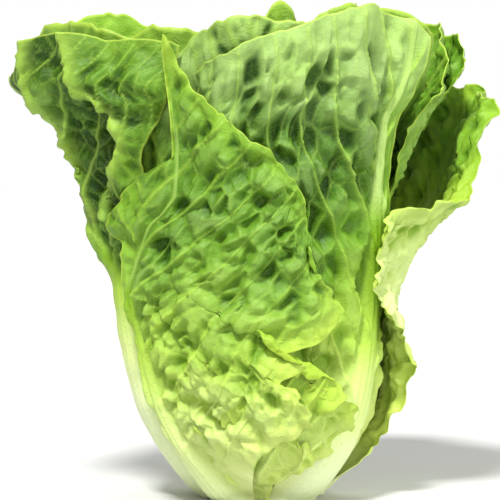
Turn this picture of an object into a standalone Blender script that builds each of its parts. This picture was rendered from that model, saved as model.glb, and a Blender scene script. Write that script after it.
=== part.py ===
"""Romaine lettuce head, standing on its trimmed butt.

One short stem (the stump) and the leaves that grow round it, each leaf a piece of its own.
Metres, +Z up, origin at the centre of the cut face, front of the head towards -Y.

Azimuth is in degrees round +Z: 0 at the front, +90 at +X (right), -90 at -X (left).
The leaves lie in layers. Layer 0 is the outermost, and every layer keeps its own distance
inside the one before it at every height and azimuth, so no leaf crosses another.
"""

import math

import bmesh
import bpy
import numpy as np

MM = 0.001

# ---- driving dimensions, millimetres and degrees -------------------------------------------
STEM_HEIGHT = 46.0
STEM_STEPS = 28            # flats round the turned stem
STEM_GAP = 0.9             # clear space between the stem and a leaf's inner face
LOWEST_CUT = 0.7           # height of the cut through the outermost leaves' bases
LEAN = -5.0                # sideways lean of the head's axis
LEAN_FROM, LEAN_TO = 20.0, 85.0
LAYERING_HEIGHT = 55.0     # height at which the layers have spread to their full spacing
BLADE_THICKNESS = 1.1
RIB_FLOOR = 1.25           # thickness of the midrib near a leaf's tip
OUTER_RIB = (4.4, 3.0)     # thickness of an outer leaf's midrib at its base and middle
INNER_RIB = (1.7, 1.4)     # the same for the leaves under the outer ones
RIB_REACH = [(0, 21), (0.2, 15), (0.5, 7), (1, 4)]   # share of the length, and half-angle

# height and radius of layer 0's inner face
BODY = [(0, 21.1), (2.5, 21.4), (7, 26.5), (13, 32), (26, 42.5), (40, 50), (60, 54),
        (80, 55.8), (100, 57.5), (120, 59.5), (140, 61.5), (160, 64), (200, 69)]
# radius and height of the stem's side, from the tip to the cut face
STEM_SIDE = [(2, 44), (4.5, 38), (10, 28), (14, 19.5), (17.2, 11), (19.4, 4), (20.1, 0)]
# how far each layer lies inside layer 0, low down and from LAYERING_HEIGHT up
LOW_INSET = [0, 0, 4.5, 4.5, 9, 9, 13.2, 13.2, 17.2, 17.2, 22]
FULL_INSET = [0, 4.2, 8.4, 12.4, 16.4, 20.4, 25, 29.5, 34.5, 39.5, 44.5]
# height and outward flare of the open top
FLARE = [(86, 0), (103, 3.5), (119, 6.5), (133, 10), (145, 15), (155, 23), (164, 31),
         (180, 37), (200, 41)]
# azimuth, spread and strength of the flare's lobes, and its strength elsewhere
FLARE_LOBES = [(-97, 34, 0.98), (105, 40, 0.64), (185, 48, 0.38)]
FLARE_EVERYWHERE = 0.12
FLARE_LOST_INSIDE = 0.75   # share of the flare that the innermost layer lacks
# the innermost layer lacks this share of the body's widening above this height
WIDENING_LOST_INSIDE = 0.6
WIDENING_FROM = 80.0
# waves per turn, phase and share of the ruffle that all layers follow
RUFFLES = [(5, 0.6, 0.9), (9, 2.1, 0.7), (14, 4.0, 0.35)]
RUFFLE_SIZE = [(70, 0), (110, 0.9), (150, 2.6), (200, 4.6)]

# half-angle of a plain leaf from base to tip
PLAIN_SPREAD = [(0, 25), (0.15, 25.5), (0.3, 31), (0.5, 43), (0.7, 52), (0.88, 53), (1, 45)]
# place across and drop below the tip of the top margin, of a round and of a pointed leaf
ROUND_TOP = [(-1, 38), (-0.75, 16), (-0.4, 3.8), (0, 0), (0.4, 3.8), (0.75, 16), (1, 38)]
POINTED_TOP = [(-1, 45), (-0.6, 26), (-0.25, 12), (0, 0), (0.25, 10), (0.6, 24), (1, 45)]
SWELL_FADE = 0.4           # share of the left half over which a swell fades to its margin
LIFT_STARTS = 0.35         # place across, from the midrib, where a margin's lift starts

# columns and rows of a leaf's cage, across it and along it
OUTER_ACROSS = [-1, -0.83, -0.66, -0.5, -0.33, -0.15, -0.05, 0.05, 0.15, 0.33, 0.5, 0.66, 0.83, 1]
OUTER_ALONG = [0, 0.012, 0.05, 0.12, 0.22, 0.36, 0.52, 0.68, 0.84, 1]
INNER_ACROSS = [-1, -0.7, -0.38, -0.08, 0.08, 0.38, 0.7, 1]
INNER_ALONG = [0, 0.08, 0.2, 0.38, 0.58, 0.8, 1]
HEART_ACROSS = [-1, -0.8, -0.6, -0.4, -0.2, 0, 0.2, 0.4, 0.6, 0.8, 1]
LAST_THICK_RIB_LAYER = 1
LAST_OUTER_LAYER = 2
FIRST_HEART_LAYER = 6

STEM_GREEN = (0.52, 0.66, 0.24, 1)
OUTER_GREEN = (0.20, 0.36, 0.05, 1)
HEART_GREEN = (0.55, 0.66, 0.16, 1)
LEAF_ROUGHNESS = 0.5
STEM_ROUGHNESS = 0.55


def through(points, x):
    """Smooth curve through (x, y) points: cubic pieces that never overshoot a point."""
    px, py = np.array(points, float).T
    x = np.clip(x, px[0], px[-1])
    step = np.diff(py) / np.diff(px)
    before, after = step[:-1], step[1:]
    same_way = before * after > 0
    total = np.where(same_way, before + after, 1)
    middle = np.where(same_way, 2 * before * after / total, 0)
    slope = np.concatenate([step[:1], middle, step[-1:]])
    i = np.clip(np.searchsorted(px, x, side="right") - 1, 0, len(px) - 2)
    h = px[i + 1] - px[i]
    t = (x - px[i]) / h
    rise = (1 + 2 * t) * (1 - t) ** 2 * py[i] + t * t * (3 - 2 * t) * py[i + 1]
    return rise + h * (t * (1 - t) ** 2 * slope[i] - t * t * (1 - t) * slope[i + 1])


def ease(x):
    """0 to 1 with level ends."""
    x = np.clip(x, 0, 1)
    return x * x * (3 - 2 * x)


def turn_gap(a, b):
    """Shortest way round from azimuth b to azimuth a, in degrees."""
    return (a - b + 180) % 360 - 180


def layer_radius(z, azimuth, layer):
    """Radius of a layer's inner face: body less inset, plus its share of flare and ruffle."""
    inner = layer / (len(FULL_INSET) - 1)
    spread = ease(z / LAYERING_HEIGHT)
    inset = LOW_INSET[layer] * (1 - spread) + FULL_INSET[layer] * spread
    strength = FLARE_EVERYWHERE
    for centre, width, size in FLARE_LOBES:
        strength = strength + size * np.exp(-((turn_gap(azimuth, centre) / width) ** 2))
    flare = through(FLARE, z) * strength * (1 - FLARE_LOST_INSIDE * inner)
    a = np.radians(azimuth)
    wave = sum(size * np.sin(turns * a + phase) for turns, phase, size in RUFFLES)
    widening = np.maximum(through(BODY, z) - through(BODY, WIDENING_FROM), 0)
    upper = widening * WIDENING_LOST_INSIDE * inner
    return through(BODY, z) - upper - inset + flare + wave * through(RUFFLE_SIZE, z)


def base_height(layer):
    """Lowest height at which a layer clears the stem."""
    z = np.linspace(LOWEST_CUT, STEM_HEIGHT, 541)
    radius, height = np.array(STEM_SIDE, float).T
    stem = np.interp(z, height[::-1], radius[::-1], right=0)
    return z[np.argmax(layer_radius(z, 0.0, layer) >= stem + STEM_GAP)]


def plain_leaf(azimuth, layer, top, spread=1.0, lean=0.0, outline=ROUND_TOP):
    """Settings of a leaf that has no special outline."""
    half = [(v, a * spread) for v, a in PLAIN_SPREAD]
    tip = [(place, top - drop) for place, drop in outline]
    return {"layer": layer, "rib": [(0, azimuth), (top, azimuth + lean)],
            "left": half, "right": half, "top": tip}


# ---- the leaves ----------------------------------------------------------------------------
# rib: height and azimuth of the midrib. left, right: share of the length and half-angle.
# top: place across (-1 left edge, 0 midrib, 1 right edge) and height of the top margin.
# lift_left, lift_right: share of the length and outward lift of that margin.
# swell: height and outward lift of the whole leaf.
LEAVES = {
    "front_left_leaf": {
        "layer": 0,
        "rib": [(0, -38), (13, -42), (39, -48), (63, -50), (83, -51), (97, -46), (110, -39),
                (117, -32), (123, -28), (145, -27), (182, -29)],
        "left": [(0, 13), (0.14, 6), (0.28, 4), (0.38, 3.5), (0.48, 4), (0.57, 11), (0.65, 24),
                 (0.7, 20), (0.745, 11), (0.765, 4), (1, 2)],
        "right": [(0, 34), (0.1, 58), (0.2, 82), (0.35, 90), (0.5, 80), (0.62, 76), (0.72, 83),
                  (0.82, 86), (0.92, 78), (1, 71)],
        "top": [(-1, 176), (-0.5, 180), (0, 182), (0.06, 171), (0.14, 162), (0.25, 152),
                (0.45, 139), (0.65, 122), (0.85, 110), (1, 97)],
        "lift_right": [(0, 0.5), (0.08, 3.5), (0.16, 5.5), (0.4, 4.5), (0.7, 1.5), (1, 0.8)],
    },
    "right_leaf": {
        "layer": 0,
        "rib": [(0, 108), (40, 109), (90, 112), (176, 116)],
        "left": [(0, 28), (0.2, 26), (0.4, 28), (0.56, 33), (0.64, 50), (0.72, 57), (0.82, 60),
                 (1, 60)],
        "right": [(0, 23), (0.2, 23), (0.4, 30), (0.6, 42), (0.8, 50), (1, 44)],
        "top": [(-1, 114), (-0.85, 120), (-0.65, 122), (-0.53, 127), (-0.44, 142),
                (-0.36, 156), (-0.25, 161), (0, 164), (0.4, 172), (0.8, 175), (1, 165)],
        "lift_left": [(0, 0.5), (0.15, 1.5), (0.4, 3), (0.6, 3.5), (0.75, 1), (0.9, 0.5), (1, 1)],
        "swell": [(70, 0), (90, 3), (105, 9), (120, 16), (135, 18), (150, 16), (176, 10)],
    },
    "back_left_outer_leaf": dict(
        plain_leaf(-141, 0, 171, 0.92, 3),
        right=[(0, 19), (0.2, 19), (0.4, 24), (0.6, 29), (0.8, 27), (1, 23)],
        lift_left=[(0, 0), (0.6, 1), (1, 5)]),
    "left_leaf": {
        "layer": 1,
        "rib": [(0, -86), (20, -77), (60, -73), (90, -76), (115, -84), (140, -88),
                (184, -88)],
        "left": [(0, 27), (0.1, 36), (0.2, 39), (0.4, 46), (0.6, 46), (0.8, 50), (1, 44)],
        "right": [(0, 28), (0.1, 25), (0.2, 20), (0.3, 21), (0.45, 27), (0.7, 38), (0.78, 42),
                  (0.88, 54), (1, 60)],
        "top": [(-1, 150), (-0.5, 162), (-0.25, 165), (0, 168), (0.15, 176), (0.27, 182),
                (0.5, 185), (0.75, 182), (0.9, 182), (1, 180)],
    },
    "front_right_leaf": {
        "layer": 1,
        "rib": [(0, 38), (15, 46), (31, 49), (50, 55), (67, 59), (79, 61), (103, 60),
                (133, 58.5), (152, 58.5), (163, 60.5), (178, 62), (190, 62)],
        "left": [(0, 33), (0.2, 36), (0.4, 54), (0.6, 71), (0.8, 79), (1, 82)],
        "right": [(0, 27), (0.2, 27), (0.4, 27), (0.5, 21), (0.6, 9), (0.8, 5.5), (1, 4)],
        "top": [(-1, 168), (-0.82, 179), (-0.6, 186), (-0.44, 191.5), (-0.35, 194.5),
                (-0.21, 195.5), (-0.07, 192.5), (0, 191), (1, 184)],
    },
    "back_leaf": dict(
        plain_leaf(163, 1, 190, 1.0, -8),
        left=[(0, 27), (0.2, 27), (0.4, 34), (0.6, 44), (0.78, 54), (0.9, 62), (1, 64)],
        top=[(-1, 176), (-0.8, 184), (-0.5, 188), (0, 190), (0.4, 186), (0.75, 174),
             (1, 152)]),
    "front_middle_leaf": plain_leaf(-12, 2, 191, 0.98, 15),
    "right_inner_leaf": dict(
        plain_leaf(107, 2, 191, 1.0, 4),
        left=[(0, 25), (0.15, 25.5), (0.3, 31), (0.5, 40), (0.65, 34), (1, 33)],
        lift_left=[(0, 0), (0.68, 0), (0.8, 3), (1, 3)],
        top=[(-1, 158), (-0.7, 169), (-0.4, 180), (0, 191), (0.4, 187), (0.75, 175),
             (1, 153)]),
    "back_left_tall_leaf": dict(
        plain_leaf(-129, 2, 197, 1.0, -1),
        top=[(-1, 160), (-0.7, 172), (-0.5, 180), (-0.3, 190), (-0.15, 194), (0, 194),
             (0.2, 188.5), (0.4, 182), (0.7, 172), (1, 160)]),
}
INNER_LEAVES = [
    # azimuth, layer, height, spread
    (48, 3, 196, 0.98), (166, 3, 186, 0.98), (-70, 3, 189, 0.98),
    (12, 4, 198, 0.94), (138, 4, 183, 0.98), (-102, 4, 187, 0.98),
    (-41, 5, 188, 0.98), (79, 5, 185, 0.98), (-161, 5, 182, 0.98),
    (48, 6, 184, 1.5), (-132, 6, 180, 1.5),
    (-42, 7, 176, 1.5), (138, 7, 178, 1.5),
    (4, 8, 171, 1.5), (-174, 8, 167, 1.5),
    (94, 9, 160, 1.45), (-86, 9, 163, 1.45),
    (30, 10, 148, 2.6),
]
POINTED_LEAF = 4           # number of the one inner leaf with a pointed tip
for number, (azimuth, layer, top, spread) in enumerate(INNER_LEAVES, 1):
    outline = POINTED_TOP if number == POINTED_LEAF else ROUND_TOP
    LEAVES[f"inner_leaf_{number:02d}"] = plain_leaf(azimuth, layer, top, spread, 0, outline)


def leaf_points(leaf, across, along):
    """Points of a leaf's inner face. across runs -1 to 1 and along 0 to 1, of equal shape.

    The height runs from where the layer clears the stem to the top margin at that place across;
    the azimuth is the midrib's, less or plus a share of the left or right half-angle; the radius
    is the layer's, plus the leaf's own swell and the lift of its margins.
    """
    low = base_height(leaf["layer"])
    z = low + along * (through(leaf["top"], across) - low)
    half = np.where(across < 0, through(leaf["left"], along), through(leaf["right"], along))
    azimuth = through(leaf["rib"], z) + across * half
    radius = layer_radius(z, azimuth, leaf["layer"])
    for side, key in ((-1, "lift_left"), (1, "lift_right")):
        if key in leaf:
            near_margin = ease((side * across - LIFT_STARTS) / (1 - LIFT_STARTS))
            radius = radius + near_margin * through(leaf[key], along)
    if "swell" in leaf:
        radius = radius + through(leaf["swell"], z) * ease((1 + across) / SWELL_FADE)
    a = np.radians(azimuth)
    x = radius * np.sin(a) + LEAN * ease((z - LEAN_FROM) / (LEAN_TO - LEAN_FROM))
    return np.stack([x, -radius * np.cos(a), z], axis=-1) * MM


def leaf_thickness(leaf, across, along):
    """Thickness in millimetres: a thin blade, and a midrib that is broad and thick at the base."""
    base, middle = OUTER_RIB if leaf["layer"] <= LAST_THICK_RIB_LAYER else INNER_RIB
    height = through([(0, base), (0.25, 0.9 * middle + 0.1 * base), (0.6, 0.8 * middle),
                      (1, RIB_FLOOR)], along)
    half = np.where(across < 0, through(leaf["left"], along), through(leaf["right"], along))
    crest = np.exp(-((across * half / through(RIB_REACH, along)) ** 2))
    return BLADE_THICKNESS + np.maximum(height - BLADE_THICKNESS, 0) * crest


def coloured(name, colour, roughness):
    """A plain material for one piece."""
    material = bpy.data.materials.new(name)
    material.use_nodes = True
    shader = material.node_tree.nodes["Principled BSDF"]
    shader.inputs["Base Color"].default_value = colour
    shader.inputs["Roughness"].default_value = roughness
    shader.inputs["Metallic"].default_value = 0.0
    return material


def add_leaf(name, leaf, collection):
    """One leaf: a grid bent to the leaf's inner face, thickened outwards by Solidify."""
    outer = leaf["layer"] <= LAST_OUTER_LAYER
    columns = OUTER_ACROSS if outer else INNER_ACROSS
    if leaf["layer"] >= FIRST_HEART_LAYER:
        columns = HEART_ACROSS
    rows = OUTER_ALONG if outer else INNER_ALONG
    mesh = bpy.data.meshes.new(name)
    cage = bmesh.new()
    bmesh.ops.create_grid(cage, x_segments=len(columns) - 1, y_segments=len(rows) - 1, size=1)
    cage.verts.sort(key=lambda v: 100 * v.co.y + v.co.x)
    across, along = np.meshgrid(np.array(columns, float), np.array(rows, float))
    points = leaf_points(leaf, across, along).reshape(-1, 3)
    for vert, point in zip(cage.verts, points):
        vert.co = point
    cage.to_mesh(mesh)
    cage.free()
    piece = bpy.data.objects.new(name, mesh)
    collection.objects.link(piece)
    thickness = leaf_thickness(leaf, across, along).ravel()
    thickest = float(thickness.max())
    group = piece.vertex_groups.new(name="thickness")
    for index, value in enumerate(thickness):
        group.add([index], float(value) / thickest, "REPLACE")
    shell = piece.modifiers.new("Blade and midrib", "SOLIDIFY")
    shell.thickness = thickest * MM
    shell.offset = 1.0
    shell.vertex_group = group.name
    shade = leaf["layer"] / (len(FULL_INSET) - 1)
    colour = [o + (h - o) * shade for o, h in zip(OUTER_GREEN, HEART_GREEN)]
    mesh.materials.append(coloured(name + "_green", colour, LEAF_ROUGHNESS))
    mesh.shade_smooth()
    return piece


def add_stump(collection):
    """The stem: a short turned cone with a flat cut face below."""
    side = [(0.0, STEM_HEIGHT)] + STEM_SIDE + [(0.0, 0.0)]
    mesh = bpy.data.meshes.new("stump")
    profile = [(radius * MM, 0.0, z * MM) for radius, z in side]
    mesh.from_pydata(profile, [(i, i + 1) for i in range(len(profile) - 1)], [])
    piece = bpy.data.objects.new("stump", mesh)
    collection.objects.link(piece)
    turn = piece.modifiers.new("Turned", "SCREW")
    turn.axis = "Z"
    turn.angle = 2 * math.pi
    turn.steps = STEM_STEPS
    turn.render_steps = STEM_STEPS
    turn.use_merge_vertices = True
    turn.merge_threshold = 0.00001
    mesh.materials.append(coloured("stump_flesh", STEM_GREEN, STEM_ROUGHNESS))
    return piece


def main():
    for old in list(bpy.data.objects):
        bpy.data.objects.remove(old)
    collection = bpy.data.collections.new("romaine_lettuce_head")
    bpy.context.scene.collection.children.link(collection)
    add_stump(collection)
    for name, leaf in LEAVES.items():
        add_leaf(name, leaf, collection)


main()
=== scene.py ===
"""Romaine lettuce head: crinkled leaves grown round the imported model, and a plain studio.

Every leaf is a grid of two parameters, across the leaf and along it, worked out with numpy in
millimetres. It stands for the plain leaf of the same name. Azimuth is in degrees round +Z: 0 at
the front (-Y), +90 at +X.
"""

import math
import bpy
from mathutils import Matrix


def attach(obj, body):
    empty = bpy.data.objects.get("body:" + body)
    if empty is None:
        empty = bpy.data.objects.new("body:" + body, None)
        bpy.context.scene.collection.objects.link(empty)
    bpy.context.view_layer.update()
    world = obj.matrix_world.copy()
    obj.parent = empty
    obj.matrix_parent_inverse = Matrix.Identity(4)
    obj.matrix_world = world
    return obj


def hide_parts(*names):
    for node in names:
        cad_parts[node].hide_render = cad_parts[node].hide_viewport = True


bl_info = {
    "name": "Romaine lettuce head",
    "version": (1, 0, 0),
    "blender": (4, 5, 0),
    "location": "3D View > Sidebar > Lettuce",
    "description": "Grows the leaves of a romaine lettuce head round its packed model",
    "category": "Add Mesh",
}

import bpy
import numpy as np
from mathutils import Vector

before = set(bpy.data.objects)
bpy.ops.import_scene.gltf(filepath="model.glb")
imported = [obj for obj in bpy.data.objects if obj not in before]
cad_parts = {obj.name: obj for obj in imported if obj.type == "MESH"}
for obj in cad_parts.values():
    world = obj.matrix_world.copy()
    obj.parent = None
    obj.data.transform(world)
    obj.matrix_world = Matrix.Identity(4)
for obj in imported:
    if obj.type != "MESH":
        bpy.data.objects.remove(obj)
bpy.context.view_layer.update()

MM = 0.001
BODY_NAME = "root"

# ---- the head's shape, millimetres and degrees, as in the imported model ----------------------
STEM_HEIGHT = 46.0
STEM_GAP = 0.9             # between the stem and a leaf's inner face
LOWEST_CUT = 0.7
CLEARANCE_STEPS = 541      # heights tried when a leaf's lowest edge is looked for
LEAN = -5.0                # how far the upper head stands to the left of its butt
LEAN_FROM, LEAN_TO = 20.0, 85.0
LAYERING_HEIGHT = 55.0
# height and radius of layer 0's inner face; radius and height of the stem's side
BODY = [(0, 21.1), (2.5, 21.4), (7, 26.5), (13, 32), (26, 42.5), (40, 50), (60, 54),
        (80, 55.8), (100, 57.5), (120, 59.5), (140, 61.5), (160, 64), (200, 69)]
STEM_SIDE = [(2, 44), (4.5, 38), (10, 28), (14, 19.5), (17.2, 11), (19.4, 4), (20.1, 0)]
# how far each layer lies inside layer 0, low down and from LAYERING_HEIGHT up
LOW_INSET = [0, 0, 4.5, 4.5, 9, 9, 13.2, 13.2, 17.2, 17.2, 22]
FULL_INSET = [0, 4.2, 8.4, 12.4, 16.4, 20.4, 25, 29.5, 34.5, 39.5, 44.5]
# height and outward flare of the open top; azimuth, spread and strength of its lobes
FLARE = [(86, 0), (103, 3.5), (119, 6.5), (133, 10), (145, 15), (155, 23), (164, 31),
         (180, 37), (200, 41)]
FLARE_LOBES = [(-97, 34, 0.98), (105, 40, 0.64), (185, 48, 0.38)]
FLARE_EVERYWHERE = 0.12
FLARE_LOST_INSIDE = 0.75
WIDENING_LOST_INSIDE = 0.6
WIDENING_FROM = 80.0
# waves per turn, phase and share of the ruffle that all layers follow; height and size of it
RUFFLES = [(5, 0.6, 0.9), (9, 2.1, 0.7), (14, 4.0, 0.35)]
RUFFLE_SIZE = [(70, 0), (110, 0.9), (150, 2.6), (200, 4.6)]
# share of the length and half-angle of a plain leaf
PLAIN_SPREAD = [(0, 25), (0.15, 25.5), (0.3, 31), (0.5, 43), (0.7, 52), (0.88, 53), (1, 45)]
# place across and drop below the tip of the top margin, of a round and of a pointed leaf
ROUND_TOP = [(-1, 38), (-0.75, 16), (-0.4, 3.8), (0, 0), (0.4, 3.8), (0.75, 16), (1, 38)]
POINTED_TOP = [(-1, 45), (-0.6, 26), (-0.25, 12), (0, 0), (0.25, 10), (0.6, 24), (1, 45)]
SWELL_FADE = 0.4           # share of the left half over which a swell fades to its margin
LIFT_STARTS = 0.35         # place across from which a margin lifts


def through(points, x):
    """Smooth curve through (x, y) points: cubic pieces that never overshoot a point."""
    px, py = np.array(points, float).T
    x = np.clip(x, px[0], px[-1])
    step = np.diff(py) / np.diff(px)
    before, after = step[:-1], step[1:]
    same_way = before * after > 0
    total = np.where(same_way, before + after, 1)
    middle = np.where(same_way, 2 * before * after / total, 0)
    slope = np.concatenate([step[:1], middle, step[-1:]])
    i = np.clip(np.searchsorted(px, x, side="right") - 1, 0, len(px) - 2)
    h = px[i + 1] - px[i]
    t = (x - px[i]) / h
    rise = (1 + 2 * t) * (1 - t) ** 2 * py[i] + t * t * (3 - 2 * t) * py[i + 1]
    return rise + h * (t * (1 - t) ** 2 * slope[i] - t * t * (1 - t) * slope[i + 1])


def ease(x):
    """0 to 1 with level ends."""
    x = np.clip(x, 0, 1)
    return x * x * (3 - 2 * x)


def turn_gap(a, b):
    """Shortest way round from azimuth b to azimuth a, in degrees."""
    return (a - b + 180) % 360 - 180


def layer_radius(z, azimuth, layer):
    """Radius of a layer's inner face: body less inset, plus its share of flare and ruffle."""
    inner = layer / (len(FULL_INSET) - 1)
    spread = ease(z / LAYERING_HEIGHT)
    inset = LOW_INSET[layer] * (1 - spread) + FULL_INSET[layer] * spread
    strength = FLARE_EVERYWHERE
    for centre, width, size in FLARE_LOBES:
        strength = strength + size * np.exp(-((turn_gap(azimuth, centre) / width) ** 2))
    flare = through(FLARE, z) * strength * (1 - FLARE_LOST_INSIDE * inner)
    a = np.radians(azimuth)
    wave = sum(size * np.sin(turns * a + phase) for turns, phase, size in RUFFLES)
    widening = np.maximum(through(BODY, z) - through(BODY, WIDENING_FROM), 0)
    upper = widening * WIDENING_LOST_INSIDE * inner
    return through(BODY, z) - upper - inset + flare + wave * through(RUFFLE_SIZE, z)


def base_height(layer):
    """Lowest height at which a layer clears the stem."""
    z = np.linspace(LOWEST_CUT, STEM_HEIGHT, CLEARANCE_STEPS)
    radius, height = np.array(STEM_SIDE, float).T
    stem = np.interp(z, height[::-1], radius[::-1], right=0)
    return z[np.argmax(layer_radius(z, 0.0, layer) >= stem + STEM_GAP)]


def plain_leaf(azimuth, layer, top, spread=1.0, lean=0.0, outline=ROUND_TOP):
    """Settings of a leaf that has no special outline."""
    half = [(v, a * spread) for v, a in PLAIN_SPREAD]
    tip = [(place, top - drop) for place, drop in outline]
    return {"layer": layer, "rib": [(0, azimuth), (top, azimuth + lean)],
            "left": half, "right": half, "top": tip}


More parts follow.
